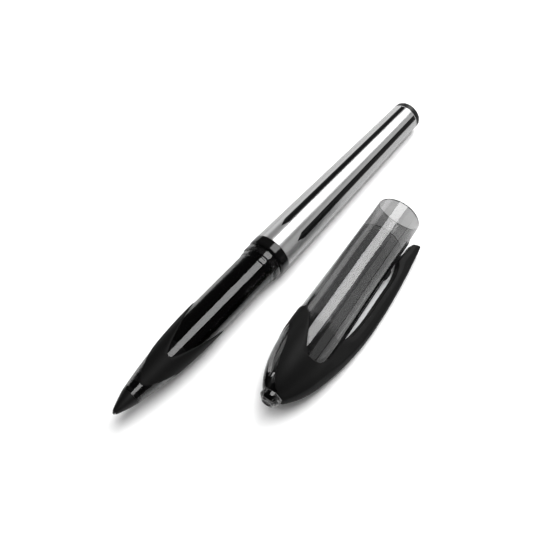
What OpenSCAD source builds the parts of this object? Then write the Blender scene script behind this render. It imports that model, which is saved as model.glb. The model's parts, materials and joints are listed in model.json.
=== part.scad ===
// Liquid-ink rollerball pen with a plastic nose, lying beside its pulled-off cap.
// Pen pieces are drawn along +Z from the writing tip, with +X through the middle of the
// front grip leaf. Cap pieces are drawn along +Z from the cap's mouth, with +X through the
// middle of the front leaf and the pocket clip on the -Y side.
// lay_pen() and lay_cap() put both down on the plane z = 0, the pen along +X.

/* [Pen] */
// Length of the pen without its cap
pen_len = 132.4; // [130:0.1:138]
// Distance from the writing tip to the front edge of the barrel
barrel_start = 63; // [62:0.1:64]
// Radius of the barrel at its front edge
barrel_front_r = 6.12; // [6.0:0.01:6.14]
// Radius of the barrel at its rear edge
barrel_tail_r = 4.63; // [4.5:0.01:4.9]
// Thickness of the barrel wall
barrel_wall = 0.6; // [0.5:0.05:0.7]
// Length of the tail plug that shows behind the barrel
tail_len = 2.2; // [1.8:0.1:2.8]

/* [Stripes] */
// Number of black stripes inlaid in the barrel
stripe_count = 4; // [2:2:4]
// Angle between the middle of a front leaf and each stripe beside it
stripe_spread = 31.3; // [25:0.1:40]
// Width of a stripe, as an angle round the barrel
stripe_angle = 19; // [10:1:22]
// Distance from the barrel's front edge to the point of a stripe
stripe_start = 5.6; // [4:0.1:10]
// Length of the pointed end of a stripe
stripe_point = 2.6; // [1.5:0.1:4]
// Depth of the stripe inlays
stripe_depth = 0.1; // [0.05:0.01:0.2]

/* [Nose and grip] */
// Radius of the writing ball
ball_r = 0.35; // [0.25:0.05:0.35]
// Distance from the tip to the base of the nose cone
nose_len = 6.2; // [5.8:0.1:6.6]
// Radius of the nose cone at its base
nose_r = 2.66; // [2.5:0.01:2.8]
// Radius of the smoked grip shell where it is straight
grip_r = 5.4; // [5.3:0.05:5.45]
// Distance from the tip to where the grip shell becomes straight
grip_full = 33; // [31:0.5:36]
// Wall thickness of the grip shell
shell_wall = 0.7; // [0.6:0.05:0.8]

/* [Grip cover] */
// Thickness of the soft grip cover, which stands proud of the shell
cover_t = 0.16; // [0.1:0.02:0.2]
// Distance from the tip to the front of a grip leaf
leaf_front = 9.1; // [8.6:0.1:9.6]
// Distance from the tip to the notch between the two leaves
leaf_notch = 20.5; // [19:0.1:22]
// Distance from the tip to the front of a grip window
window_front = 19.1; // [18:0.1:20]
// Distance from the tip to the rear tips of the grip cover
wing_end = 35.9; // [34:0.1:38]

/* [Cap] */
// Length of the cap
cap_len = 69.7; // [69:0.1:71]
// Outer radius of the cap at its mouth
cap_mouth_r = 6.7; // [6.65:0.01:6.8]
// Largest outer radius of the cap's tube
cap_belly_r = 7.2; // [7.1:0.01:7.4]
// Distance from the mouth to the widest place of the tube
cap_belly = 45; // [44:0.5:46]
// Radius of the bore at the mouth, which slides over the neck of the pen
cap_bore_r = 6.02; // [6.0:0.01:6.05]
// Depth of the bore at the mouth
cap_bore_len = 10.6; // [9:0.1:12]
// Radius of the bore behind the step
cap_inner_r = 5.85; // [5.82:0.01:5.86]

/* [Cap cover] */
// Thickness of the cap's cover, which stands proud of the tube
cap_cover_t = 0.2; // [0.1:0.02:0.24]
// Distance from the mouth to the front of a cap window
cap_window = 55.4; // [54.4:0.1:56]
// Distance from the mouth to the rear tips of the cap cover
cap_wing_end = 43; // [42:0.1:44]
// Half width of the clear strip between the two leaves of the cap cover
cap_strip = 3.9; // [3.6:0.1:4]
// Distance from the mouth to where that strip ends
cap_strip_end = 48.8; // [48:0.1:50]

/* [Pocket clip] */
// Farthest reach of the clip from the cap's axis
clip_reach = 13; // [12.6:0.05:13]
// Distance from the mouth to the free end of the clip
clip_end = 3.5; // [3:0.1:4]
// Distance from the mouth to the root where the clip bends
clip_root = 45; // [44.5:0.1:46]
// Gap between the clip's contact bump and the rail on the tube under it
clip_gap = 0.32; // [0.3:0.01:0.4]
// Height of that rail above the tube
rail_h = 0.42; // [0.35:0.01:0.45]

/* [Resting pose] */
// Roll of the pen: how far the middle of its upper leaf leans to the -Y side
pen_roll = 20; // [0:1:45]
// Roll of the cap, at which it lies on its clip and its belly
cap_roll = 26.5; // [26:0.1:26.5]
// Angle between the cap and the pen as they lie
cap_yaw = 5.6; // [3:0.1:8]
// Place of the cap's mouth along the pen, from the writing tip
cap_x = 95.6; // [90:0.1:100]
// Distance from the pen's axis to the middle of the cap's mouth
cap_y = 20.7; // [19:0.1:30]

/* [Hidden] */

$fn = 96;
seat_gap = 0.01;                       // clearance between pieces that touch
barrel_end = pen_len - tail_len;
collar_len = 3;
collar_r = barrel_front_r + 0.03;
collar_start = barrel_start - collar_len;
spigot_r = 5.1;                        // rear spigot of the shell, inside collar and barrel
spigot_len = 5;
ring_a = [55.8, 1.1, 5.62];            // neck rings: distance from the tip, length, radius
ring_b = [57.6, 1.8, 5.95];
ball_gap = 0.02;                       // running clearance round the ball
collector_front = 23.9;
collector_end = 52;
sleeve_bore_r = 3.93;
core_r = 0.6;
tank_r = 3.9;
tank_wall = 0.45;
tank_start = 58.5;
tank_end = 122;
ink_end = 112;
cap_nose_len = 24;                     // length of the curve that closes the cap's nose
cap_nose_end = 67.2;                   // where the nose of the tube is cut for the end piece
cap_pin_r = 2;                         // stem of the cap's end piece
cap_floor = 62.6;                      // bottom of the hollow in the tube's nose
cap_cover_end = 67.1;
clip_w = 1.85;                         // half width of the clip's arm
tail_round = 0.9;                      // radius of the tail plug's rounded edge
clip_split = 0.3;                      // gap between the clip and the root on the cover
tip_depth = collar_start;              // how far the pen's tip goes into the cap

pen_tilt = atan((collar_r - barrel_tail_r) / (barrel_end - barrel_start));
pen_height = collar_r * cos(pen_tilt) + barrel_start * sin(pen_tilt);
cap_tilt = atan((cap_belly_r - cap_mouth_r) / cap_belly);
cap_height = cap_mouth_r * cos(cap_tilt);

// Distances from the centre of the whole to the pen's tip and axis, so that the origin is
// at the middle of the floor area that pen and cap cover together.
tail_flat_r = barrel_tail_r - 0.07 - tail_round;
shift_x = -(pen_len * cos(pen_tilt) + tail_flat_r * sin(pen_tilt)) / 2;
shift_y = 15.0745;

// Radius of the pen's nose and grip shell at distance z from the tip
function shell_r(z) =
    let (f = min(1, (z - nose_len) / (grip_full - nose_len)))
    nose_r + (grip_r - nose_r) * (1 - pow(1 - f, 1.85));

// Outer radius of the barrel at distance z from the tip
function barrel_r(z) = barrel_front_r
    + (barrel_tail_r - barrel_front_r) * (z - barrel_start) / (barrel_end - barrel_start);

// Outer radius of the cap's tube at distance z from its mouth
function cap_r(z) = z < cap_belly
    ? cap_mouth_r + (cap_belly_r - cap_mouth_r) * pow(z / cap_belly, 1.8)
    : cap_belly_r * pow(1 - pow((z - cap_belly) / cap_nose_len, 2.6), 0.6);

// Height of a curve that starts flat at f = 0 and falls to nothing at f = 1
function fall(f, p, q) = pow(max(0, 1 - pow(f, p)), q);

// Values from a to b in n equal steps
function steps(a, b, n) = [for (i = [0:n]) a + (b - a) * i / n];

// Smooth curve through the points of p, k steps between each two (Catmull-Rom)
function smooth_at(a, b, c, d, t) =
    0.5 * (2 * b + (c - a) * t + (2 * a - 5 * b + 4 * c - d) * t * t
    + (3 * b - a - 3 * c + d) * t * t * t);
function smooth(p, k) =
    let (n = len(p) - 1)
    concat([for (i = [0:n - 1]) for (j = [0:k - 1])
        smooth_at(p[max(0, i - 1)], p[i], p[i + 1], p[min(n, i + 2)], j / k)], [p[n]]);

// Solid between two outlines, each a list of [z, r], turned about Z
module turned(outer, inner) {
    rotate_extrude() polygon(concat([for (p = outer) [p[1], p[0]]],
        [for (i = [len(inner) - 1:-1:0]) [inner[i][1], inner[i][0]]]));
}

// Tube from z0 to z1 with outer radius ro and bore ri
module tube(z0, z1, ro, ri) {
    translate([0, 0, z0]) difference() {
        cylinder(h = z1 - z0, r = ro);
        translate([0, 0, -1]) cylinder(h = z1 - z0 + 2, r = ri);
    }
}

module rod(z0, z1, r) {
    translate([0, 0, z0]) cylinder(h = z1 - z0, r = r);
}

// Flat outline of [z, x] points, made thick along Y from y0 to y1
module side_cut(points, y0, y1) {
    translate([0, y1, 0]) rotate([90, 0, 0]) linear_extrude(y1 - y0)
        polygon([for (p = points) [p[1], p[0]]]);
}

// The outline [z, x] and its mirror image in x, as one closed list
function both_sides(half) = concat(half, [for (i = [len(half) - 1:-1:0]) [half[i][0], -half[i][1]]]);

module lay_pen() {
    translate([shift_x, shift_y, pen_height])
        rotate([0, 90 + pen_tilt, 0])
            rotate([0, 0, 180 + pen_roll]) children();
}

module lay_cap() {
    translate([shift_x + cap_x, shift_y - cap_y, cap_height])
        rotate([0, 0, cap_yaw])
            rotate([0, cap_tilt - 90, 0])
                rotate([0, 0, -cap_roll]) children();
}

// ---- pen ----

module writing_ball() {
    color("dimgray") lay_pen() translate([0, 0, ball_r]) sphere(r = ball_r);
}

// Steel tube whose crimped lip holds the ball and whose cone guides the feed core
module ball_seat() {
    hole = ball_r + ball_gap;
    color("silver") lay_pen() turned(
        [[0.22, 0.42], [0.7, 0.62], [1.4, 0.8], [5.2, 0.8]],
        [[0.22, 0.345], [0.3, hole], [0.76, hole], [0.9, 0.2], [2, 0.2], [2.4, 0.4], [5.2, 0.4]]);
}

module nose_cone() {
    bulge = 0.12;
    front = [for (z = steps(0.5, nose_len, 8))
        [z, 0.66 + (nose_r - 0.66) * (z - 0.5) / (nose_len - 0.5) + bulge * sin(180 * z / nose_len)]];
    back = [[nose_len, shell_r(nose_len) - shell_wall - seat_gap], [9.6, 2.3]];
    color([0.09, 0.09, 0.09]) lay_pen() turned(concat(front, back),
        [[0.5, 0.62], [0.7, 0.64], [1.4, 0.82], [5.2, 0.82], [5.6, 1.3], [9.6, 1.3]]);
}

// Fibre rod that carries ink from the tank through the collector to the seat
module feed_core() {
    color("ivory") lay_pen() {
        rod(5.22, 9.6, 0.35);
        rod(9.6, 60, core_r);
    }
}

// Grey sleeve round the feed core, in front of the collector
module feed_guide() {
    color([0.35, 0.35, 0.36]) lay_pen() turned(
        [[9.65, 2.2], [12, 2.55], [20, 3.3], [collector_front - 0.05, 3.3]],
        [[9.65, 0.65], [collector_front - 0.05, 0.65]]);
}

// Comb of thin fins that takes up spare ink when the pen warms or is carried
module ink_collector() {
    fins = 22;
    fin_r = sleeve_bore_r - 0.05;
    pitch = (collector_end - collector_front - 3) / fins;
    color([0.06, 0.06, 0.07]) lay_pen() {
        tube(collector_front, collector_end, 2, core_r + 0.05);
        tube(collector_front, collector_front + 1.5, fin_r, core_r + 0.05);
        tube(collector_end - 1.5, collector_end, fin_r, core_r + 0.05);
        for (i = [0:fins - 1])
            tube(collector_front + 1.9 + i * pitch, collector_front + 2.5 + i * pitch, fin_r, 1.5);
    }
}

// Glossy black sleeve over the collector, seen through the smoked shell
module inner_sleeve() {
    outside = [for (z = steps(collector_front, grip_full, 8)) [z, shell_r(z) - shell_wall - 0.07]];
    color([0.03, 0.03, 0.03]) lay_pen()
        turned(concat(outside, [[collector_end, grip_r - shell_wall - 0.07]]),
            [[collector_front, sleeve_bore_r], [collector_end, sleeve_bore_r]]);
}

// Smoked transparent shell from the nose cone to the spigot inside the barrel
module grip_shell() {
    ogive = [for (z = steps(nose_len, grip_full, 14)) [z, shell_r(z)]];
    neck = [[ring_a[0] - 0.4, grip_r], [ring_a[0], ring_a[2]], [ring_a[0] + ring_a[1], ring_a[2]],
        [ring_a[0] + ring_a[1] + 0.1, grip_r], [ring_b[0] - 0.1, grip_r], [ring_b[0], ring_b[2]],
        [ring_b[0] + ring_b[1], ring_b[2]], [ring_b[0] + ring_b[1], grip_r], [collar_start, grip_r],
        [collar_start, spigot_r], [barrel_start + spigot_len, spigot_r]];
    inside = [for (z = steps(nose_len, grip_full, 14)) [z, shell_r(z) - shell_wall]];
    color([0.25, 0.25, 0.27, 0.45]) lay_pen() turned(concat(ogive, neck),
        concat(inside, [[barrel_start - 5, grip_r - shell_wall], [barrel_start - 4, spigot_r - 0.6],
            [barrel_start + spigot_len, spigot_r - 0.6]]));
}

// Matt band over the shell: a leaf above and below, joined by two wings that sweep back
module grip_cover() {
    wing_h = shell_r(window_front);
    notch_h = shell_r(leaf_front) + 0.1;
    wing = [for (f = steps(0, 1, 14))
        [window_front + f * (wing_end - window_front), wing_h * fall(f, 1.75, 0.62)]];
    notch = [for (f = steps(0, 1, 12))
        [leaf_front + f * (leaf_notch - leaf_front), notch_h * fall(f, 1.7, 1)]];
    band = [for (z = steps(leaf_front, wing_end, 20)) [z, shell_r(z) + seat_gap]];
    color([0.12, 0.12, 0.12]) lay_pen() difference() {
        intersection() {
            turned([for (p = band) [p[0], p[1] + cover_t]], band);
            side_cut(both_sides(concat([[0, 8], [window_front, 8]], wing)), -8, 8);
        }
        side_cut(both_sides(concat([[0, notch_h]], notch)), -8, 8);
    }
}

// Black ring between the neck and the barrel, which stops the cap
module neck_collar() {
    color([0.04, 0.04, 0.04]) lay_pen() turned(
        [[collar_start + seat_gap, collar_r - 0.35], [collar_start + 0.4, collar_r - 0.05],
            [collar_start + 0.9, collar_r], [barrel_start - seat_gap, collar_r]],
        [[collar_start + seat_gap, spigot_r + seat_gap], [barrel_start - seat_gap, spigot_r + seat_gap]]);
}

// One stripe as a solid that reaches from deep inside the barrel to beyond its surface
module stripe_wedge() {
    half = 8 * tan(stripe_angle / 2);
    z0 = barrel_start + stripe_start;
    z1 = z0 + stripe_point;
    intersection() {
        rotate([0, 0, -stripe_angle / 2]) translate([0, 0, z0])
            rotate_extrude(angle = stripe_angle) square([8, barrel_end - 0.3 - z0]);
        rotate([90, 0, 90]) linear_extrude(8)
            polygon([[0, z0], [half, z1], [half, barrel_end], [-half, barrel_end], [-half, z1]]);
    }
}

module all_stripes() {
    for (i = [0:stripe_count - 1])
        rotate([0, 0, (i % 2 == 0 ? -stripe_spread : stripe_spread) + (i < 2 ? 0 : 180)])
            stripe_wedge();
}

// Layer just under the surface of the barrel, in which the stripes lie
module stripe_layer(outside) {
    turned([[barrel_start, barrel_r(barrel_start) + outside], [barrel_end, barrel_r(barrel_end) + outside]],
        [[barrel_start, barrel_r(barrel_start) - stripe_depth],
            [barrel_end, barrel_r(barrel_end) - stripe_depth]]);
}

module barrel() {
    color([0.78, 0.78, 0.79]) lay_pen() difference() {
        turned([[barrel_start, barrel_front_r], [barrel_end, barrel_tail_r]],
            [[barrel_start, spigot_r + seat_gap], [barrel_start + spigot_len, spigot_r + seat_gap],
                [barrel_start + spigot_len, tank_r + 0.25], [tank_end + 2, tank_r + 0.25],
                [tank_end + 2.5, barrel_tail_r - barrel_wall], [barrel_end, barrel_tail_r - barrel_wall]]);
        intersection() {
            all_stripes();
            stripe_layer(1);
        }
    }
}

module barrel_stripes() {
    color([0.02, 0.02, 0.02]) lay_pen() intersection() {
        all_stripes();
        stripe_layer(0);
    }
}

// Plug that closes the front of the tank and leads the feed core into it
module tank_joint() {
    joint_r = 4.23;
    color([0.08, 0.08, 0.08]) lay_pen() {
        turned([[collector_end + 0.05, joint_r], [tank_start - 0.05, joint_r]],
            [[collector_end + 0.05, core_r + 0.05], [tank_start - 0.05, core_r + 0.05]]);
        tube(tank_start - 0.05, tank_start + 3, tank_r - tank_wall - seat_gap, core_r + 0.05);
    }
}

module ink_tank() {
    color([0.8, 0.8, 0.82, 0.5]) lay_pen() tube(tank_start, tank_end, tank_r, tank_r - tank_wall);
}

module ink_column() {
    color([0.02, 0.02, 0.05]) lay_pen() rod(tank_start + 3.05, ink_end, tank_r - tank_wall - seat_gap);
}

module tank_stopper() {
    color([0.75, 0.75, 0.75]) lay_pen() {
        rod(tank_end - 4, tank_end + 0.01, tank_r - tank_wall - seat_gap);
        rod(tank_end + 0.01, tank_end + 1, tank_r);
    }
}

// Tail plug: a spigot inside the barrel and a rounded rim behind it
module tail_plug() {
    rim = barrel_tail_r - 0.02;
    rounded = [for (a = steps(0, 90, 6))
        [pen_len - tail_round * (1 - sin(a)), rim - 0.05 - tail_round * (1 - cos(a))]];
    spigot = barrel_tail_r - barrel_wall - seat_gap;
    color([0.05, 0.05, 0.05]) lay_pen() turned(
        concat([[tank_end + 3, spigot], [barrel_end + seat_gap, spigot], [barrel_end + seat_gap, rim]],
            [[barrel_end + 0.3, rim]], rounded),
        [[tank_end + 3, spigot - 0.8], [barrel_end - 0.5, spigot - 0.8], [barrel_end - 0.5, 0],
            [pen_len, 0]]);
}

// ---- cap ----

// Smoked clear tube with a closed nose; the mouth slides over the neck of the pen
module cap_tube() {
    outer = [for (z = steps(0, cap_belly, 9)) [z, cap_r(z)]];
    nose = [for (z = steps(cap_belly + 2, cap_nose_end, 12)) [z, cap_r(z)]];
    inner = [for (z = steps(cap_belly + 1, cap_floor, 8))
        [z, cap_inner_r * pow(1 - pow((z - cap_belly) / (cap_floor + 3 - cap_belly), 2.4), 0.6)]];
    color([0.45, 0.45, 0.47, 0.4]) lay_cap() {
        turned(concat(outer, nose),
            concat([[0, cap_bore_r], [cap_bore_len, cap_bore_r], [cap_bore_len + 0.3, cap_inner_r],
                [cap_belly - 1, cap_inner_r]], inner, [[cap_floor, cap_pin_r + seat_gap],
                [cap_nose_end, cap_pin_r + seat_gap]]));
    }
}

// Rail of the cover along the tube under the clip, with a small raised stop
module clip_rail() {
    rail_half = 1;
    stop_z = 18.1;
    stop_half = 1.6;
    stop_h = 1;
    outside = concat([[4.4, cap_r(4.4) + 0.1], [5.6, cap_r(5.6) + rail_h]],
        [for (z = steps(10, 40, 6)) [z, cap_r(z) + rail_h]],
        [[43, cap_r(43) + 0.33], [cap_belly, cap_r(cap_belly) + 0.22]]);
    inside = concat([[4.4, cap_r(4.4) + 2 * seat_gap]],
        [for (z = steps(5, cap_belly, 8)) [z, cap_r(z) + seat_gap]]);
    intersection() {
        union() {
            turned(outside, inside);
            difference() {
                translate([0, stop_half - cap_r(stop_z) - stop_h, stop_z]) rotate([0, 90, 0])
                    cylinder(h = 4, r = stop_half, center = true);
                translate([0, 0, stop_z - 4]) cylinder(h = 8, r = cap_r(stop_z) + 0.1);
            }
        }
        translate([-rail_half, -9, 4]) cube([2 * rail_half, 9, 45]);
    }
}

// Solid of the tube's outside, grown by t, that the cover is shaped on
module cap_form(t) {
    rotate_extrude() polygon(concat([[0, 20]],
        [for (z = steps(20, cap_belly, 5)) [cap_r(z) + t, z]],
        [for (z = steps(cap_belly + 2, cap_nose_end, 12)) [cap_r(z) + t, z]], [[0, cap_nose_end]]));
}

// Stations of the clip and of its root on the cover, smooth along z:
// [z, half width, outer reach, inner reach, height of the crown, half width at the inner reach]
clip_line = smooth([
    [clip_end, 1.6, 10.6, 8.9, 0.4, 1.3], [clip_end + 0.9, 1.7, 10.8, 8.25, 0.5, 1.35],
    [clip_end + 2.3, 1.75, 11, 7.95, 0.6, 1.35], [8, 1.8, 11.3, 7.85, 0.8, 1.3],
    [9.6, clip_w, 11.5, 7.55, 0.9, 1.2], [11.4, clip_w, 11.72, cap_r(11.4) + rail_h + clip_gap, 0.9, 1.2],
    [12.8, clip_w, 11.88, 7.8, 0.9, 1.3], [14, clip_w, 12, 8.35, 0.9, 1.4], [16, clip_w, 12.18, 8.8, 1, 1.5],
    [19, clip_w, 12.45, 9.1, 1, 1.6], [23, clip_w, 12.7, 9.1, 1, 1.6], [27, clip_w, 12.9, 9.15, 1.05, 1.65],
    [33, clip_w, clip_reach, 9.1, 1.1, 1.65], [38, 2.05, 12.85, 8.68, 1.2, 1.8],
    [42, 2.35, 12.47, 8, 1.35, 2.1], [clip_root, 2.55, 12.1, 7.75, 1.5, 2.4]], 3);
root_line = smooth([
    [clip_root + clip_split, 2.58, 12.05, 5.6, 1.5, 2.7], [49, 3, 11.45, 4.4, 1.7, 3.2],
    [53, 3.5, 10.5, 3, 2.1, 4.4], [57, 3.7, 9.4, 2, 2.2, 5.2], [60.5, 3.5, 8.1, 1.5, 1.9, 4.7],
    [63.6, 3, 6.5, 1, 1.6, 3.3], [66.2, 2.3, 4.65, 0.6, 1.2, 2.2], [67.1, 1.7, 3.8, 0.6, 0.9, 1.6]], 3);

// Outline across the clip at one station
function clip_section(s) =
    let (w = s[1], side = s[2] - s[4], b = s[5], shoulder = w + 0.25 * max(0, b - w))
    let (ridge = 0.55 * s[3] + 0.45 * side)
    concat([[-b, -s[3], s[0]], [b, -s[3], s[0]], [shoulder, -ridge, s[0]]],
        [for (a = steps(0, 180, 8)) [w * cos(a), -side - s[4] * sin(a), s[0]]],
        [[-shoulder, -ridge, s[0]]]);

// Solid through a row of sections that all have the same number of points
module loft(sections) {
    m = len(sections[0]);
    n = len(sections);
    polyhedron(
        points = [for (s = sections) for (p = s) p],
        faces = concat(
            [[for (j = [m - 1:-1:0]) j]],
            [for (i = [0:n - 2]) for (j = [0:m - 1]) [i * m + j, i * m + (j + 1) % m, (i + 1) * m + j]],
            [for (i = [0:n - 2]) for (j = [0:m - 1])
                [i * m + (j + 1) % m, (i + 1) * m + (j + 1) % m, (i + 1) * m + j]],
            [[for (j = [0:m - 1]) (n - 1) * m + j]]));
}

// Matt cover: two leaves over the nose, two wings, the root of the clip and the rail under it
module cap_cover() {
    span = cap_window - cap_wing_end;
    keel_len = 7;
    keel_half = 2.2;
    strip_full = 57.5;
    strip_tail = [[80, cap_strip - 0.85], [66.8, cap_strip - 0.85], [65, cap_strip - 0.4], [62, cap_strip - 0.06]];
    wing = [for (f = steps(0, 1, 14)) [cap_window - f * span, 6.8 * fall(f, 2, 0.35)]];
    keel = [for (f = steps(0, 1, 14)) [cap_window - f * f * keel_len, 6.8 - (6.8 - keel_half) * pow(f, 1.4)]];
    strip = [for (f = steps(0, 1, 10))
        [strip_full - f * (strip_full - cap_strip_end), cap_strip * fall(f, 2, 0.7)]];
    band = [for (z = concat([cap_wing_end], steps(cap_belly, cap_cover_end, 14))) [z, cap_r(z) + seat_gap]];
    color([0.12, 0.12, 0.12]) lay_cap() {
        difference() {
            intersection() {
                turned([for (p = band) [p[0], p[1] + cap_cover_t]], band);
                union() {
                    side_cut(both_sides(concat([[80, 9], [cap_window, 9]], wing)), -0.3, 9);
                    side_cut(both_sides(concat([[80, 9], [cap_window, 9]], keel, [[40, keel_half]])),
                        -9, 0.3);
                }
            }
            side_cut(both_sides(concat(strip_tail, strip)), 0, 9);
        }
        difference() {
            loft([for (s = root_line) clip_section(s)]);
            cap_form(seat_gap + 0.04);
        }
        clip_rail();
    }
}

module pocket_clip() {
    color([0.12, 0.12, 0.12]) lay_cap() loft([for (s = clip_line) clip_section(s)]);
}

// Clear end piece: a stem inside the tube's nose and a bevelled head, which is set a little
// towards the clip
module cap_end() {
    head_r = cap_r(cap_nose_end) + 0.25;
    head_shift = 0.35;
    color([0.8, 0.8, 0.82, 0.4]) lay_cap() {
        rod(cap_floor, cap_nose_end + 0.1, cap_pin_r);
        translate([0, -head_shift, 0])
            turned([[cap_nose_end + seat_gap, head_r], [cap_nose_end + 1.2, head_r], [cap_len, 1.6]],
                [[cap_nose_end + seat_gap, 0], [cap_len - 0.25, 0], [cap_len - 0.25, 1.1], [cap_len, 1.3]]);
    }
}

// Inner cap: a thin sleeve behind the mouth, whose closed end keeps the tip from drying out
module inner_cap() {
    wall = 0.3;
    outer_r = cap_inner_r - 0.03;
    color([0.6, 0.6, 0.62, 0.5]) lay_cap() turned(
        [[cap_bore_len + 0.35, outer_r], [44, outer_r], [48, 5.6], [52, 5.1], [56, 4.45], [59, 3.6], [61.8, 2.4]],
        [[cap_bore_len + 0.35, outer_r - wall], [40, outer_r - wall], [45, 4.95], [49, 3.95], [53, 3.2],
            [57, 2.35], [59.8, 1.6], [60.9, 1.6], [60.9, 0], [61.8, 0]]);
}

// Soft pad that the tip presses on when the cap is on
module tip_seal() {
    color([0.2, 0.2, 0.2]) lay_cap() rod(tip_depth + 0.1, 60.85, 1.5);
}

writing_ball();
ball_seat();
nose_cone();
feed_core();
feed_guide();
ink_collector();
inner_sleeve();
grip_shell();
grip_cover();
neck_collar();
barrel();
barrel_stripes();
tank_joint();
ink_tank();
ink_column();
tank_stopper();
tail_plug();
cap_tube();
cap_cover();
pocket_clip();
cap_end();
inner_cap();
tip_seal();
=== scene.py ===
"""Looks for a liquid-ink rollerball pen lying beside its cap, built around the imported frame.

Pieces are made in two local frames, in millimetres. The pen's has +Z from the writing tip to the
tail and +X through the middle of the upper grip leaf. The cap's has +Z from the mouth to the closed
end, +X through the middle of the upper window, and the clip on the -Y side.
"""
import json
import math

import bpy
import numpy as np
from mathutils import Matrix, Vector


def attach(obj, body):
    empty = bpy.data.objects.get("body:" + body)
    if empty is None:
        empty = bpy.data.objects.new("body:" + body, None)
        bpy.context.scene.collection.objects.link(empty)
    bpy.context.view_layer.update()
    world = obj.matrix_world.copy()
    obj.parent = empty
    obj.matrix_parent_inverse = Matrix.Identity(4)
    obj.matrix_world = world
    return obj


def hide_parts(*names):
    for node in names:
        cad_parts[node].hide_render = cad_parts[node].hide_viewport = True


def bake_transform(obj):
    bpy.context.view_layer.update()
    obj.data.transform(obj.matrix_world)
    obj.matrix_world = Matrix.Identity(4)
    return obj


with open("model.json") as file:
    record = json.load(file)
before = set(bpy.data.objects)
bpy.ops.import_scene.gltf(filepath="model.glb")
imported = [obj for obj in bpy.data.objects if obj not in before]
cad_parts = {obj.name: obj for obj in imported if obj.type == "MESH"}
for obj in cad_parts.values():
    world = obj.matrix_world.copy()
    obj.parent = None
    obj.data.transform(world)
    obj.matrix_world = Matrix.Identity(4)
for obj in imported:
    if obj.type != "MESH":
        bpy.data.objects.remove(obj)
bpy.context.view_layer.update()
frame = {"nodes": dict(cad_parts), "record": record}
record = frame["record"]
nodes = frame["nodes"]
MM = 0.001

# ---- the two local frames, from the record's mounts and joints ----


def unit(v):
    v = np.array(v, float)
    return v / np.linalg.norm(v)


mounts = {m["name"]: m for m in record["mounts"]}
joints = {j["name"]: j for j in record["behaviour"]["joints"]}
PEN_LEN = 132.4
PEN_ROLL = math.radians(20)  # how far the leaf's middle leans from straight up, towards the cap

pen_z = -unit(mounts["neck_seat"]["axis"])
pen_up = unit(np.array([0, 0, 1.0]) - pen_z[2] * pen_z)
pen_x = math.cos(PEN_ROLL) * pen_up + math.sin(PEN_ROLL) * np.array([0, -1.0, 0])
PEN = (np.column_stack([pen_x, np.cross(pen_z, pen_x), pen_z]),
       np.array(mounts["tail_face"]["pos_m"]) - pen_z * PEN_LEN * MM)
cap_z = -unit(mounts["cap_mouth"]["axis"])
cap_x = -unit(joints["clip_flex"]["axis"])
CAP = (np.column_stack([cap_x, np.cross(cap_z, cap_x), cap_z]),
       np.array(mounts["cap_mouth"]["pos_m"]))


def place(points, local):
    """Local millimetres to row-frame metres."""
    turn, origin = local
    return np.asarray(points, float) @ turn.T * MM + origin


# ---- sizes, in millimetres ----

# pen: places along Z from the writing tip, and radii
BARREL_START, BARREL_END = 63.0, 130.2
BARREL_R0, BARREL_R1 = 6.12, 4.63
NOSE_LEN, NOSE_R = 6.2, 2.66
NOSE_TIP, NOSE_TIP_R = 0.5, 0.66
GRIP_R, GRIP_FULL = 5.4, 33.0
SHELL_WALL = 0.7
RING_A = (55.8, 56.9, 5.62)
RING_B = (57.6, 59.4, 5.95)
COLLAR_START, COLLAR_R = 60.0, 6.15
SPIGOT_R, SPIGOT_END = 5.1, 68.0
SLEEVE_START, SLEEVE_END, SLEEVE_BORE_R = 23.9, 52.0, 3.93
COVER_T, COVER_SINK = 0.18, 0.22
LEAF_FRONT, LEAF_NOTCH, WINDOW_FRONT, WING_END = 9.1, 20.5, 19.1, 35.9
STRIPE_START, STRIPE_POINT, STRIPE_END = BARREL_START + 5.6, 2.6, BARREL_END - 0.3
STRIPE_HALF, STRIPE_LEAN = math.radians(9.5), math.radians(31.3)
STRIPE_LIFT, STRIPE_SINK = 0.022, 0.1
TAIL_ROUND = 0.9

# cap: places along Z from the mouth, and radii
CAP_LEN, CAP_MOUTH_R, CAP_BELLY_R, CAP_BELLY = 69.7, 6.7, 7.2, 45.0
CAP_BORE_R, CAP_BORE_LEN, CAP_INNER_R = 6.02, 10.6, 5.85
CAP_NOSE_LEN, CAP_NOSE_END, CAP_FLOOR, CAP_PIN_R = 24.0, 67.2, 62.6, 2.0
CAP_LIP = 0.22
CAP_COVER_T, CAP_COVER_SINK, CAP_COVER_END = 0.22, 0.25, 67.1
CAP_WINDOW, CAP_WING_END, CAP_STRIP, CAP_STRIP_END = 55.4, 43.0, 3.9, 48.8
CAP_STRIP_FULL = 57.5
WINDOW_HALF = 6.8
KEEL_HALF, KEEL_LEN = 2.2, 7.0
RAIL_H, RAIL_HALF, RAIL_START, RAIL_END = 0.42, 1.0, 4.35, 46.0
RAIL_STOP, RAIL_STOP_H, RAIL_STOP_HALF = 18.0, 0.55, 1.8
END_STEP, END_STRAIGHT, END_SHIFT = 0.25, 1.2, 0.35
# the inner cap's wall, its closed end, and where its painted shade begins
LINER_WALL, LINER_END, LINER_SHADE_FROM = 0.28, 61.8, 46.0
RIBS, RIB_H, RIB_TURN = 6, 0.3, 0.1

# steps of the surface nets, and the step over which a curve's slope is taken
GRIP_STEP, RAIL_STEP, COVER_STEP = 0.15, 0.12, 0.18
SLOPE_STEP, SLOPE_LIMIT = 0.02, 8


def shell_r(z):
    f = np.clip((np.asarray(z, float) - NOSE_LEN) / (GRIP_FULL - NOSE_LEN), 0, 1)
    return NOSE_R + (GRIP_R - NOSE_R) * (1 - (1 - f) ** 1.85)


def barrel_r(z):
    return BARREL_R0 + (BARREL_R1 - BARREL_R0) * (z - BARREL_START) / (BARREL_END - BARREL_START)


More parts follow.
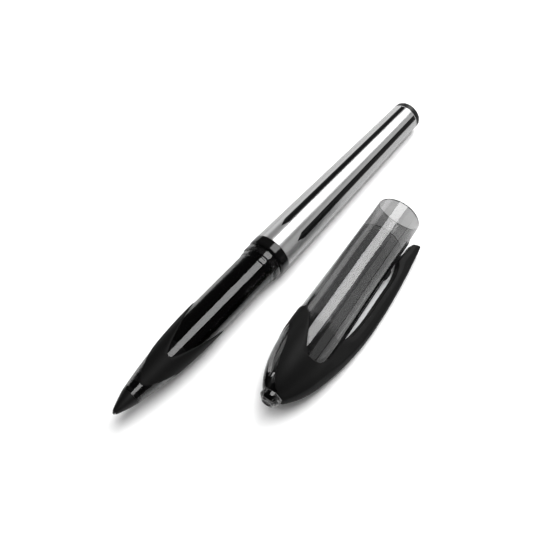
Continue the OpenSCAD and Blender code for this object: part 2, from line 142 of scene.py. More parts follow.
def cap_r(z):
    z = np.asarray(z, float)
    belly = CAP_MOUTH_R + (CAP_BELLY_R - CAP_MOUTH_R) * np.clip(z / CAP_BELLY, 0, 1) ** 1.8
    f = np.clip((z - CAP_BELLY) / CAP_NOSE_LEN, 0, 0.995)
    return np.where(z < CAP_BELLY, belly, CAP_BELLY_R * (1 - f ** 2.6) ** 0.6)


def fall(f, p, q):
    """1 at f = 0, flat there, and down to 0 at f = 1."""
    return np.maximum(1e-9, 1 - np.clip(f, 0, 1) ** p) ** q


def with_slope(f, z, d=SLOPE_STEP):
    """A curve over z and the square root of 1 + its slope squared, for true distances beside it."""
    here = f(z)
    return here, np.sqrt(1 + np.clip((f(z + d) - here) / d, -SLOPE_LIMIT, SLOPE_LIMIT) ** 2)


def steepness(radius, z, d=0.05):
    """Slant length of a turned surface for one unit along Z."""
    return np.sqrt(1 + ((radius(z + d) - radius(z - d)) / (2 * d)) ** 2)


def quarter(n):
    """n angles from a quarter turn down to nothing."""
    return np.linspace(0.5 * math.pi, 0, n)


# ---- mesh making ----


def new_mesh(name, points, faces, local, sharp=None):
    """A smooth-shaded mesh from local points; edges sharper than `sharp` degrees stay crisp."""
    me = bpy.data.meshes.new(name)
    me.from_pydata(place(points, local).tolist(), [], faces)
    me.validate()
    me.update()
    me.polygons.foreach_set("use_smooth", [True] * len(me.polygons))
    if sharp is not None:
        me.set_sharp_from_angle(angle=math.radians(sharp))
    ob = bpy.data.objects.new(name, me)
    bpy.context.scene.collection.objects.link(ob)
    return ob


def fillet(points, radius, steps=4, closed=True):
    """Rounds the corners of a [z, r] outline. radius is one number, or one for each point."""
    p = [np.array(q, float) for q in points]
    n = len(p)
    radii = [radius] * n if np.isscalar(radius) else radius
    out = []
    for i in range(n):
        if not closed and i in (0, n - 1) or radii[i] <= 0:
            out.append(p[i])
            continue
        a, b, c = p[i - 1], p[i], p[(i + 1) % n]
        la, lc = np.linalg.norm(a - b), np.linalg.norm(c - b)
        if la < 1e-9 or lc < 1e-9:
            continue
        cos = np.clip((a - b) @ (c - b) / la / lc, -1, 1)
        if cos < -0.995:
            out.append(b)
            continue
        d = min(radii[i] / math.tan(math.acos(cos) / 2), 0.45 * la, 0.45 * lc)
        s, e = b + (a - b) / la * d, b + (c - b) / lc * d
        for t in np.linspace(0, 1, steps + 1):
            out.append((1 - t) ** 2 * s + 2 * t * (1 - t) * b + t * t * e)
    return out


def lathe(name, outline, local, segments=192, sharp=40, bend=None, shift=None):
    """A closed solid of revolution from a closed outline of [z, r] points.
    bend(z, r, angle), if given, returns the changed radius; shift(points) returns moved points."""
    turn = np.linspace(0, 2 * math.pi, segments, endpoint=False)
    z = np.array([q[0] for q in outline])
    r = np.array([q[1] for q in outline])
    on_axis = r < 1e-6
    rings, points = [], []
    for i in range(len(outline)):
        if on_axis[i]:
            rings.append([len(points)] * segments)
            points.append((0, 0, z[i]))
        else:
            ri = np.full(segments, r[i]) if bend is None else bend(z[i], r[i], turn)
            rings.append(list(range(len(points), len(points) + segments)))
            points.extend(zip(ri * np.cos(turn), ri * np.sin(turn), [z[i]] * segments))
    faces = []
    m = len(outline)
    for i in range(m):
        a, b = rings[i], rings[(i + 1) % m]
        if on_axis[i] and on_axis[(i + 1) % m]:
            continue
        for j in range(segments):
            k = (j + 1) % segments
            face = [a[j], b[j], b[k], a[k]]
            face = [v for n, v in enumerate(face) if v != face[n - 1]]
            if len(face) > 2:
                faces.append(face)
    area = sum(z[i] * r[(i + 1) % m] - z[(i + 1) % m] * r[i] for i in range(m))
    if area < 0:
        faces = [f[::-1] for f in faces]
    return new_mesh(name, shift(points) if shift else points, faces, local, sharp)


def surface_net(field, low, high, step):
    """Closed quad mesh of field(x, y, z) = 0, negative inside, moved onto the true surface."""
    axes = [np.arange(low[i], high[i] + step, step) for i in range(3)]
    value = field(axes[0][:, None, None], axes[1][None, :, None], axes[2][None, None, :])
    value = value.astype(np.float32)
    size = np.array(value.shape)
    inside = value < 0
    cells, spots, quads = [], [], []
    for a in range(3):
        b, c = [i for i in range(3) if i != a]
        first = [slice(None)] * 3
        last = [slice(None)] * 3
        first[a], last[a] = slice(0, -1), slice(1, None)
        v0, v1 = value[tuple(first)], value[tuple(last)]
        at = np.argwhere(inside[tuple(first)] != inside[tuple(last)])
        v0, v1 = v0[tuple(at.T)], v1[tuple(at.T)]
        spot = at.astype(float)
        spot[:, a] += v0 / (v0 - v1)
        corner = []
        for db, dc in ((-1, -1), (0, -1), (0, 0), (-1, 0)):
            cell = at.copy()
            cell[:, b] += db
            cell[:, c] += dc
            key = (cell[:, 0] * size[1] + cell[:, 1]) * size[2] + cell[:, 2]
            corner.append(key)
            cells.append(key)
            spots.append(spot)
        corner = np.stack(corner, 1)
        back = (v0 < 0) != (a == 1)
        corner[~back] = corner[~back][:, ::-1]
        quads.append(corner)
    cells, spots, quads = np.concatenate(cells), np.concatenate(spots), np.concatenate(quads)
    keys, where = np.unique(cells, return_inverse=True)
    count = np.bincount(where)
    points = np.stack([np.bincount(where, spots[:, i]) / count for i in range(3)], 1)
    points = points * step + np.array(low)
    e = step * 0.1
    for _ in range(3):
        x, y, z = points.T
        here = field(x, y, z)
        slope = np.stack([field(x + e, y, z) - field(x - e, y, z),
                          field(x, y + e, z) - field(x, y - e, z),
                          field(x, y, z + e) - field(x, y, z - e)], 1) / (2 * e)
        move = here / np.maximum((slope ** 2).sum(1), 0.25)
        points -= slope * np.clip(move, -0.5 * step, 0.5 * step)[:, None]
    return points, np.searchsorted(keys, quads)


def smax(a, b, k):
    """The larger of two fields, blended over a width k."""
    h = np.maximum(k - np.abs(a - b), 0) / k
    return np.maximum(a, b) + h * h * k / 4


def smin(a, b, k):
    return -smax(-a, -b, k)


def smooth(points, k=8):
    """Dense smooth curve through rows of numbers (Catmull-Rom)."""
    p = np.array(points, float)
    p = np.vstack([p[:1], p, p[-1:]])
    t = np.linspace(0, 1, k, endpoint=False)[:, None]
    out = []
    for a, b, c, d in zip(p[:-3], p[1:-2], p[2:-1], p[3:]):
        out.append(0.5 * (2 * b + (c - a) * t + (2 * a - 5 * b + 4 * c - d) * t ** 2
                          + (3 * b - a - 3 * c + d) * t ** 3))
    return np.vstack(out + [p[-1:]])


# ---- materials ----


def link(nt, a, out, b, into):
    nt.links.new(a.outputs[out], b.inputs[into])


def noise_node(nt, coords, scale, detail):
    noise = nt.nodes.new("ShaderNodeTexNoise")
    noise.inputs["Scale"].default_value = scale
    noise.inputs["Detail"].default_value = detail
    link(nt, coords, "Object", noise, "Vector")
    return noise


def mix_in(nt, when, second):
    """Shows a second shader on rays of one kind, in place of the Principled one."""
    path = nt.nodes.new("ShaderNodeLightPath")
    mix = nt.nodes.new("ShaderNodeMixShader")
    link(nt, path, when, mix, "Fac")
    nt.links.new(nt.nodes["Principled BSDF"].outputs["BSDF"], mix.inputs[1])
    nt.links.new(second.outputs["BSDF"], mix.inputs[2])
    link(nt, mix, "Shader", nt.nodes["Material Output"], "Surface")


def material(name, value, rough, metallic=0.0, specular=0.5, grain=None, bump=0.0,
             rough_range=None, tone=0.0, transmission=0.0, ior=1.46, lamp=None):
    """Principled material with fine grain. value is a grey, or three numbers. grain is the size
    of the grain in millimetres. rough_range and tone vary the roughness and the colour in wide
    patches. lamp, for clear plastic, is the share of light that one surface lets through to what
    is behind it."""
    color = (value, value, value) if np.isscalar(value) else value
    m = bpy.data.materials.new(name)
    m.use_nodes = True
    nt = m.node_tree
    p = nt.nodes["Principled BSDF"]
    p.inputs["Base Color"].default_value = (*color, 1)
    p.inputs["Roughness"].default_value = rough
    p.inputs["Metallic"].default_value = metallic
    p.inputs["Specular IOR Level"].default_value = specular
    p.inputs["IOR"].default_value = ior
    p.inputs["Transmission Weight"].default_value = transmission
    coords = nt.nodes.new("ShaderNodeTexCoord")
    if grain and bump:
        b = nt.nodes.new("ShaderNodeBump")
        b.inputs["Strength"].default_value = bump
        b.inputs["Distance"].default_value = grain * MM * 0.1
        link(nt, noise_node(nt, coords, 1 / (grain * MM), 4), "Fac", b, "Height")
        link(nt, b, "Normal", p, "Normal")
    if rough_range or tone:
        wide = noise_node(nt, coords, 1 / (PATCH_MM * MM), 6)
        wide.inputs["Roughness"].default_value = 0.65
    if rough_range:
        mr = nt.nodes.new("ShaderNodeMapRange")
        for key, number in zip(("From Min", "From Max", "To Min", "To Max"),
                               (*NOISE_SPREAD, *rough_range)):
            mr.inputs[key].default_value = number
        link(nt, wide, "Fac", mr, "Value")
        link(nt, mr, "Result", p, "Roughness")
    if tone:
        ramp = nt.nodes.new("ShaderNodeValToRGB")
        for stop, at, sign in zip(ramp.color_ramp.elements, NOISE_SPREAD, (-1, 1)):
            stop.position = at
            stop.color = (*[min(1, c * (1 + sign * tone)) for c in color], 1)
        link(nt, wide, "Fac", ramp, "Fac")
        link(nt, ramp, "Color", p, "Base Color")
    if lamp is not None:
        clear = nt.nodes.new("ShaderNodeBsdfTransparent")
        clear.inputs["Color"].default_value = (lamp, lamp, lamp, 1)
        mix_in(nt, "Is Shadow Ray", clear)
    return m


def clear_plastic(name, value, rough, rough_range, grain, bump, lamp, transmission=1.0):
    return material(name, value, rough, grain=grain, bump=bump, rough_range=rough_range,
                    transmission=transmission, ior=1.5, lamp=lamp)


PATCH_MM = 4
NOISE_SPREAD = (0.3, 0.7)
mats = {
    # opaque: blacks, greys, metals, fibre and rubber
    "soft": material("soft_black", 0.005, 0.55, specular=0.1, grain=0.12, bump=0.25,
                     rough_range=(0.5, 0.62), tone=0.12),
    "cap_soft": material("cap_soft_black", 0.005, 0.5, specular=0.1, grain=0.12, bump=0.22,
                         rough_range=(0.46, 0.58), tone=0.12),
    "satin": material("satin_black", 0.006, 0.36, specular=0.3, grain=0.08, bump=0.15,
                      rough_range=(0.3, 0.42), tone=0.1),
    "gloss": material("gloss_black", 0.004, 0.1, grain=0.5, bump=0.03,
                      rough_range=(0.06, 0.13), tone=0.1),
    "guide": material("guide_grey", 0.10, 0.35, grain=0.2, bump=0.1,
                      rough_range=(0.3, 0.42), tone=0.1),
    "silver": material("silver_lacquer", 0.4, 0.24, metallic=0.7,
                       rough_range=(0.21, 0.26), tone=0.03),
    "stripe": material("stripe_black", 0.002, 0.22, specular=0.2, grain=0.1, bump=0.05,
                       rough_range=(0.18, 0.28), tone=0.1),
    "steel": material("ball_steel", 0.45, 0.2, metallic=1.0, grain=0.05, bump=0.05,
                      rough_range=(0.15, 0.28), tone=0.05),
    # clear: the name, grey, roughness, its range, grain, bump, light let through
    "smoked": clear_plastic("smoked_clear", 0.13, 0.03, (0.02, 0.05), 2.5, 0.02, 0.6),
    "cap_clear": clear_plastic("cap_smoked_clear", 0.48, 0.02, (0.01, 0.04), 3.0, 0.02, 0.8),
    # painted shade: a near-black clear for the tube's mouth edge, bore step and closed end's
    # hollow, darkening them as shade would
    "cap_shade": clear_plastic("cap_painted_shade", 0.02, 0.12, (0.08, 0.16), 1.0, 0.02, 0.5, 0.5),
    "end_clear": clear_plastic("end_clear", 0.22, 0.03, (0.02, 0.05), 1.0, 0.02, 0.7),
    "liner": clear_plastic("liner_clear", 0.34, 0.1, (0.03, 0.16), 1.2, 0.12, 0.75, 0.85),
    # painted shade: a near-black clear for the inner cap's closed end, standing for the shade seen
    # there through the window
    "liner_shade": clear_plastic("liner_painted_shade", 0.012, 0.08, (0.03, 0.14), 1.2, 0.1, 0.3, 0.6),
    "tank": clear_plastic("tank_clear", 0.6, 0.2, (0.15, 0.25), 0.5, 0.05, 0.8, 0.8),
    # hidden pieces and the floor
    "ink": material("ink", 0.003, 0.05, grain=1.0, bump=0.02,
                    rough_range=(0.03, 0.08), tone=0.1),
    "fibre": material("wick_fibre", (0.6, 0.58, 0.5), 0.9, grain=0.06, bump=0.6,
                      rough_range=(0.85, 0.95), tone=0.15),
    "rubber": material("stopper_rubber", 0.12, 0.6, grain=0.1, bump=0.3,
                       rough_range=(0.55, 0.7), tone=0.1),
    "floor": material("pale_floor", 0.95, 0.6, specular=0.1, grain=1.5, bump=0.02,
                      rough_range=(0.5, 0.6), tone=0.004),
}


def finish_piece(ob, mat, body, slot, *stands_for):
    """Gives a piece its material and body, and hides the CAD nodes that it stands for. slot is not
    used.
    """
    ob.data.materials.clear()
    ob.data.materials.append(mats[mat])
    if body:
        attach(ob, body)
    if stands_for:
        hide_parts(*stands_for)
    return ob


def second_material(ob, mat, local, test):
    """A second material on the faces for which test(z, r) holds, z and r in local millimetres."""
    ob.data.materials.append(mats[mat])
    turn, origin = local
    centre = np.empty(3 * len(ob.data.polygons))
    ob.data.polygons.foreach_get("center", centre)
    x, y, z = ((centre.reshape(-1, 3) - origin) / MM @ turn).T
    ob.data.polygons.foreach_set("material_index", test(z, np.hypot(x, y)).astype(int).tolist())


def dress(node, mat):
    """A CAD node that is shown as it is, with a better material."""
    me = nodes[node].data
    me.materials.clear()
    me.materials.append(mats[mat])


# ---- pen ----


def curve(f, a, b, n):
    z = np.linspace(a, b, n)
    return [[float(q), float(f(q))] for q in z]


def cone_r(z):
    """The nose cone's radius, swollen a little between its ends."""
    share = (z - NOSE_TIP) / (NOSE_LEN - NOSE_TIP)
    return NOSE_TIP_R + (NOSE_R - NOSE_TIP_R) * share + 0.12 * math.sin(math.pi * z / NOSE_LEN)


# nose cone: satin cone with a fine shoulder where it meets the shell
cone = [[NOSE_TIP, NOSE_TIP_R]] + curve(cone_r, NOSE_TIP + 0.3, NOSE_LEN - 0.12, 12)
cone += [[NOSE_LEN - 0.05, NOSE_R - 0.02], [NOSE_LEN, NOSE_R - 0.12], [NOSE_LEN, 2.2], [9.6, 2.2],
         [9.6, 1.3], [5.6, 1.3], [5.2, 0.82], [1.4, 0.82], [0.7, 0.64],
         [NOSE_TIP, NOSE_TIP_R - 0.04]]
finish_piece(lathe("nose_cone_shape", cone, PEN, 128), "satin", "pen", "nose_black", "nose_cone")

# ball seat: a steel tube whose lip closes round the ball
seat = fillet([[0.22, 0.42], [0.7, 0.62], [1.4, 0.8], [5.2, 0.8], [5.2, 0.4], [2.4, 0.4],
               [2, 0.2], [0.9, 0.2], [0.76, 0.37], [0.3, 0.37], [0.22, 0.345]], 0.04, 3)
finish_piece(lathe("ball_seat_shape", seat, PEN, 64), "steel", "pen", "seat_steel", "ball_seat")

for node, mat in (("writing_ball", "steel"), ("feed_core", "fibre"), ("ink_collector", "gloss"),
                  ("tank_joint", "gloss"), ("ink_tank", "tank"), ("ink_column", "ink"),
                  ("tank_stopper", "rubber")):
    dress(node, mat)

# grey sleeve in front of the black one, stepped as a moulding
guide = fillet([[9.65, 2.1], [12, 2.5], [16, 3.0], [19.5, 3.3], [20.2, 3.3], [20.2, 2.95],
                [21, 2.95], [21, 3.3], [22.4, 3.3], [22.4, 2.95], [23.0, 2.95], [23.0, 3.3],
                [23.85, 3.3], [23.85, 0.65], [9.65, 0.65]], 0.08, 2)
finish_piece(lathe("feed_guide_shape", guide, PEN, 128), "guide", "pen", "guide_grey",
             "feed_guide")

# glossy black sleeve behind the leaf
SLEEVE_GAP = SHELL_WALL + 0.08
sleeve = [[SLEEVE_START, shell_r(SLEEVE_START) - 1.0]]
sleeve += [[z, r - SLEEVE_GAP] for z, r in curve(shell_r, SLEEVE_START + 0.3, GRIP_FULL, 16)]
sleeve += [[SLEEVE_END - 0.1, GRIP_R - SLEEVE_GAP], [SLEEVE_END, GRIP_R - SLEEVE_GAP - 0.1],
           [SLEEVE_END, SLEEVE_BORE_R], [SLEEVE_START, SLEEVE_BORE_R]]
finish_piece(lathe("inner_sleeve_shape", sleeve, PEN, 160), "gloss", "pen", "inner_black",
             "inner_sleeve")

# smoked shell with its two neck rings
outer = curve(shell_r, NOSE_LEN + 0.02, GRIP_FULL, 30)
neck = fillet([[GRIP_FULL, GRIP_R], [RING_A[0] - 0.4, GRIP_R], [RING_A[0], RING_A[2]],
               [RING_A[1], RING_A[2]], [RING_A[1] + 0.1, GRIP_R], [RING_B[0] - 0.1, GRIP_R],
               [RING_B[0], RING_B[2]], [RING_B[1], RING_B[2]], [RING_B[1], GRIP_R],
               [COLLAR_START, GRIP_R], [COLLAR_START, SPIGOT_R], [SPIGOT_END, SPIGOT_R],
               [SPIGOT_END, SPIGOT_R - 0.6], [BARREL_START - 4, SPIGOT_R - 0.6],
               [BARREL_START - 5, GRIP_R - SHELL_WALL], [GRIP_FULL, GRIP_R - SHELL_WALL]],
              0.12, 3, closed=False)
inner = [[z, r - SHELL_WALL] for z, r in outer[::-1]]
finish_piece(lathe("grip_shell_shape", outer + neck[1:] + inner[1:], PEN, 256, sharp=50),
             "smoked", "pen", "smoked_clear", "grip_shell")


# soft grip cover: two leaves joined by swept-back wings
def grip_wing(z):
    """Half width of the window, which narrows to a point between the wings."""
    f = (z - WINDOW_FRONT) / (WING_END - WINDOW_FRONT)
    return shell_r(WINDOW_FRONT) * fall(f, 1.75, 0.62)


def grip_notch(z):
    """Half width of the notch that parts the two leaves at the front."""
    f = (z - LEAF_FRONT) / (LEAF_NOTCH - LEAF_FRONT)
    return (shell_r(LEAF_FRONT) + 0.1) * fall(f, 1.7, 1)


def grip_field(x, y, z):
    rho = np.sqrt(x * x + y * y)
    r = shell_r(z)
    steep = steepness(shell_r, z)
    layer = smax((rho - r - COVER_T) / steep, (r - COVER_SINK - rho) / steep, 0.05)
    half, slope = with_slope(grip_wing, z)
    window = np.maximum(WINDOW_FRONT - z, (half - np.abs(x)) / slope)
    half, slope = with_slope(grip_notch, z)
    front = np.maximum(z - LEAF_NOTCH, (np.abs(x) - half) / slope)
    front = np.where(z < LEAF_FRONT, -1.0, front)
    ends = np.maximum(LEAF_FRONT - z, z - WING_END)
    return smax(smax(layer, -window, 0.12), smax(-front, ends, 0.12), 0.12)


points, quads = surface_net(grip_field, (-5.9, -5.9, 8.6), (5.9, 5.9, 36.4), GRIP_STEP)
finish_piece(new_mesh("grip_cover_shape", points, quads.tolist(), PEN), "soft", "pen",
             "grip_soft", "grip_cover")

# glossy ring that stops the cap
JOIN = 0.02
collar = fillet([[COLLAR_START + JOIN, COLLAR_R - 0.42], [COLLAR_START + 0.5, COLLAR_R - 0.04],
                 [COLLAR_START + 1.0, COLLAR_R], [BARREL_START - JOIN, COLLAR_R],
                 [BARREL_START - JOIN, SPIGOT_R + JOIN], [COLLAR_START + JOIN, SPIGOT_R + JOIN]],
                0.1, 4)
finish_piece(lathe("neck_collar_shape", collar, PEN, 224), "gloss", "pen", "collar_black",
             "neck_collar")

# barrel: a tapered tube with softened ends
tube = fillet([[BARREL_START, BARREL_R0], [BARREL_END, BARREL_R1], [BARREL_END, 4.03],
               [124.5, 4.03], [124, 4.15], [SPIGOT_END, 4.15], [SPIGOT_END, SPIGOT_R + JOIN],
               [BARREL_START, SPIGOT_R + JOIN]], 0.06, 3)
finish_piece(lathe("barrel_shape", tube, PEN, 256), "silver", "pen", "barrel_silver", "barrel")


def stripe(middle):
    """Points and faces of one flush stripe, a thin pointed plate that follows the barrel."""
    length = STRIPE_END - STRIPE_START
    z = np.concatenate([np.linspace(0, STRIPE_POINT, 14),
                        np.linspace(STRIPE_POINT, length, 60)[1:]]) + STRIPE_START
    share = np.clip((z - STRIPE_START) / STRIPE_POINT, 0.02, 1)
    across = np.array([-1, -0.97, -0.6, -0.2, 0.2, 0.6, 0.97, 1])
    lift = np.minimum(STRIPE_LIFT, (1 - np.abs(across)) * 0.02 / 0.03)
    pts, n = [], len(across)
    for level in (1, 0):
        for zi, si in zip(z, share):
            a = middle + STRIPE_HALF * si * across
            r = barrel_r(zi) + (lift if level else -STRIPE_SINK)
            pts.extend(zip(r * np.cos(a), r * np.sin(a), [zi] * n))
    m = len(z)
    top = [[i * n + j, i * n + j + 1, (i + 1) * n + j + 1, (i + 1) * n + j]
           for i in range(m - 1) for j in range(n - 1)]
    low = [[v + m * n for v in f[::-1]] for f in top]
    rim = list(range(n)) + [i * n + n - 1 for i in range(1, m)]
    rim += [(m - 1) * n + j for j in range(n - 2, -1, -1)] + [i * n for i in range(m - 2, 0, -1)]
    side = [[a, a + m * n, b + m * n, b] for a, b in zip(rim, rim[1:] + rim[:1])]
    return pts, top + low + side


points, faces = [], []
for base in (0, math.pi):
    for lean in (-1, 1):
        p, f = stripe(base + lean * STRIPE_LEAN)
        faces.extend([[v + len(points) for v in q] for q in f])
        points.extend(p)
finish_piece(new_mesh("barrel_stripe_inlays", points, faces, PEN, 50), "stripe", "pen",
             "stripe_black", "barrel_stripes")

# tail plug with a rounded rim
rim = BARREL_R1 - JOIN
tail = [[125, 3.2], [125, 4.0], [BARREL_END + JOIN, 4.0], [BARREL_END + JOIN, rim - 0.06],
        [BARREL_END + 0.12, rim]]
tail += [[PEN_LEN - TAIL_ROUND * (1 - math.sin(a)), rim - 0.05 - TAIL_ROUND * (1 - math.cos(a))]
         for a in quarter(10)[::-1]]
tail += [[PEN_LEN, 1.0], [PEN_LEN - 0.05, 0.9], [PEN_LEN - 0.05, 0], [129.7, 0], [129.7, 3.2]]
finish_piece(lathe("tail_plug_shape", tail, PEN, 160), "satin", "pen", "tail_black", "tail_plug")

# ---- cap ----


# clear tube: outside from the mouth to the nose, then the inside back to the mouth
nose_r = float(cap_r(CAP_NOSE_END))
pin_r = CAP_PIN_R + 0.01
tube = [[CAP_LIP * (1 - math.sin(a)), CAP_MOUTH_R - CAP_LIP * (1 - math.cos(a))]
        for a in quarter(7)]
tube += curve(cap_r, 0.2, CAP_BELLY, 48)[1:]
tube += curve(cap_r, CAP_BELLY + 0.5, CAP_NOSE_END - 0.25, 40)
tube += [[CAP_NOSE_END - 0.05, nose_r - 0.06], [CAP_NOSE_END, nose_r - 0.2],
         [CAP_NOSE_END, pin_r], [CAP_FLOOR, pin_r]]


def hollow_r(z):
    """Radius of the closed end's hollow, which is rounder than the outside."""
    f = (z - CAP_BELLY) / (CAP_FLOOR + 3 - CAP_BELLY)
    return CAP_INNER_R * (1 - f ** 2.4) ** 0.6


tube += curve(hollow_r, CAP_BELLY + 0.5, CAP_FLOOR, 24)[::-1]
tube += [[CAP_BELLY - 1, CAP_INNER_R], [30, CAP_INNER_R], [CAP_BORE_LEN + 0.3, CAP_INNER_R],
         [CAP_BORE_LEN, CAP_BORE_R]]
tube += [[CAP_LIP * (1 - math.cos(a)), CAP_BORE_R + CAP_LIP * (1 - math.sin(a))]
         for a in quarter(7)]
tube_piece = finish_piece(lathe("cap_tube_shape", tube, CAP, 280, sharp=50), "cap_clear", "cap",
                          "cap_smoked", "cap_tube")


def painted_shade_on_tube(z, r):
    """Faces given a near-black clear as painted shade: the mouth's edge, the step in the bore and
    the wall of the closed end's hollow.
    """
    step = (np.abs(z - CAP_BORE_LEN - 0.1) < 0.35) & (r < CAP_BORE_R + 0.01)
    closed_end = (z > CAP_BELLY + 0.4) & (z < CAP_FLOOR) & (r < cap_r(z) - 0.5)
    return (z < 0.3) | step | closed_end


# painted shade on the tube's mouth edge, bore step and closed end's hollow
second_material(tube_piece, "cap_shade", CAP, painted_shade_on_tube)


# clear bevelled end piece, its head set a little towards the clip
def head_shift(points):
    points = np.array(points)
    points[points[:, 2] > CAP_NOSE_END + 0.005, 1] -= END_SHIFT
    return points


head = nose_r + END_STEP
end = fillet([[CAP_FLOOR, 0], [CAP_FLOOR, CAP_PIN_R], [CAP_NOSE_END + 0.01, CAP_PIN_R],
              [CAP_NOSE_END + 0.01, head], [CAP_NOSE_END + END_STRAIGHT, head], [CAP_LEN, 1.6],
              [CAP_LEN, 1.3], [CAP_LEN - 0.25, 1.1], [CAP_LEN - 0.25, 0]],
             [0, 0.1, 0.05, 0.12, 0.12, 0.1, 0.05, 0.1, 0], 4)
finish_piece(lathe("cap_end_shape", end, CAP, 128, shift=head_shift), "end_clear", "cap",
             "end_clear", "cap_end")

# inner cap: a thin translucent sleeve behind the mouth, closed round the tip of the pen
rim_z, rim_r = CAP_BORE_LEN + 0.36, CAP_INNER_R - 0.04
wall_r = rim_r - LINER_WALL
liner = [[rim_z, rim_r - 0.22], [rim_z + 0.03, rim_r - 0.08], [rim_z + 0.12, rim_r], [44, rim_r],
         [48, 5.58], [52, 5.1], [56, 4.45], [59, 3.6], [LINER_END, 2.4], [LINER_END, 0],
         [60.9, 0], [60.9, 1.6], [59.8, 1.6], [57, 2.35], [53, 3.2], [49, 3.95], [45, 4.95],
         [40, wall_r], [rim_z + 0.1, wall_r]]
rounding = [0.05] * 3 + [0.6] * 15 + [0.05]
wall_middle = np.array([[40, 5.8], [45, 5.3], [49, 4.5], [53, 3.9], [57, 3.2], [60, 3.3]])


def ribs(z, r, angle):
    """Fine lengthwise ribs on the outside of the inner cap's cone."""
    if r < 3.4 or not 43 < z < 60 or r < float(np.interp(z, *wall_middle.T)):
        return np.full(len(angle), r)
    rise = RIB_H * min(1, (z - 43) / 3) * min(1, (60 - z) / 2)
    return r + rise * np.clip(np.cos(RIBS * (angle - RIB_TURN)) * 8 - 7, 0, 1)


liner_piece = finish_piece(lathe("inner_cap_shape", fillet(liner, rounding, 4), CAP, 320,
                                 sharp=60, bend=ribs), "liner", "cap", "liner_clear", "inner_cap")
# painted shade: the inner cap's closed end, beyond 46 mm, is made near black
second_material(liner_piece, "liner_shade", CAP, lambda z, r: z > LINER_SHADE_FROM)
dress("tip_seal", "rubber")

# matt cover with the pocket clip growing out of it. The clip's stations along Z are
# [z, half width, outer face, inner face, crown of the outer face, half width of the inner face]
line = smooth([
    [2.4, 1.5, 10.45, 9.2, 0.4, 1.3], [3.6, 1.6, 10.6, 8.8, 0.45, 1.3],
    [4.6, 1.7, 10.8, 8.2, 0.5, 1.35], [5.8, 1.75, 11, 7.95, 0.6, 1.35],
    [8, 1.8, 11.3, 7.85, 0.8, 1.3], [9.6, 1.85, 11.5, 7.5, 0.9, 1.2],
    [11.4, 1.85, 11.72, 7.4, 0.9, 1.2], [12.8, 1.85, 11.88, 7.75, 0.9, 1.3],
    [14, 1.85, 12, 8.35, 0.9, 1.4], [16, 1.85, 12.18, 8.8, 1, 1.5],
    [19, 1.85, 12.45, 9.15, 1, 1.6], [23, 1.85, 12.7, 9.1, 1, 1.6],
    [27, 1.85, 12.9, 9.15, 1.05, 1.65], [33, 1.85, 13, 9.12, 1.1, 1.65],
    [38, 2.05, 12.86, 8.66, 1.2, 1.8], [40.8, 2.25, 12.62, 8.15, 1.3, 2],
    [42.3, 2.37, 12.46, 7.3, 1.36, 2.2], [45.1, 2.56, 12.1, 6.8, 1.5, 2.6],
    [49, 3, 11.45, 5, 1.7, 3], [53, 3.5, 10.5, 4, 2.1, 3.6], [57, 3.7, 9.4, 3, 2.2, 3.8],
    [60.5, 3.5, 8.1, 2, 1.9, 3.6], [63.6, 3, 6.5, 1, 1.6, 3], [66.2, 2.3, 4.65, 0, 1.2, 2.3],
    [67.2, 1.8, 3.8, 0, 0.9, 1.8]])


def clip_field(x, y, z):
    w, outer, inner, crown, base = [np.interp(z, line[:, 0], line[:, i]) for i in range(1, 6)]
    out = -y
    side = outer - crown
    top = (out - outer + crown * (x / w) ** 2) / np.sqrt(1 + (2 * crown * x / w ** 2) ** 2)
    ridge = 0.55 * inner + 0.45 * side
    share = np.clip((out - inner) / (ridge - inner), 0, 1)
    wall = (np.abs(x) - (base + (w - base) * share)) * 0.95
    body = smax(smax(top, wall, 0.22), inner - out, 0.25)
    slant = -0.894 * (z - 3.78) - 0.447 * (out - 9.8)
    return smax(body, slant, 0.5)


def wing_half(z):
    """Half width of the upper window, which narrows to a point between the wings."""
    f = (CAP_WINDOW - z) / (CAP_WINDOW - CAP_WING_END + 0.2)
    return WINDOW_HALF * fall(f, 2, 0.35)


def keel_half(z):
    """Half width of the lower window, which leaves the keel that carries the clip."""
    f = np.clip((CAP_WINDOW - z) / KEEL_LEN, 1e-6, 1)
    return WINDOW_HALF - (WINDOW_HALF - KEEL_HALF) * f ** 0.7


def strip_half(z):
    """Half width of the bare strip of tube between the leaves."""
    wide = CAP_STRIP * fall((CAP_STRIP_FULL - z) / (CAP_STRIP_FULL - CAP_STRIP_END), 2, 0.7)
    return wide - 0.9 * np.clip((z - 60) / 7.2, 0, 1) ** 2.2


def cap_field(x, y, z):
    rho = np.sqrt(x * x + y * y)
    r = cap_r(z)
    steep = steepness(cap_r, z)
    solid = (rho - r - CAP_COVER_T) / steep
    clip = clip_field(x, y, z)
    swell = np.interp(z, [42.5, 45, 49, 58, 66], [0.15, 0.8, 1.4, 2.2, 0.8])
    skin = smin(solid, clip, swell)
    half, slope = with_slope(wing_half, z)
    wing_window = np.maximum(z - CAP_WINDOW, (half - np.abs(x)) / slope)
    half, slope = with_slope(keel_half, z)
    keel_window = np.maximum(z - CAP_WINDOW, (half - np.abs(x)) / slope)
    window = np.where(y > 0, wing_window, keel_window)
    half, slope = with_slope(strip_half, z)
    gap = np.where(y > 0, np.maximum(CAP_STRIP_END - z, (np.abs(x) - half) / slope), 1.0)
    ends = np.maximum(CAP_WING_END - z, z - CAP_COVER_END)
    skin = smax(smax(skin, -window, 0.14), smax(-gap, ends, 0.14), 0.14)
    hollow = (r - CAP_COVER_SINK - rho) / steep
    return smax(np.minimum(skin, smax(clip, z - CAP_COVER_END, 0.4)), hollow, 0.05)


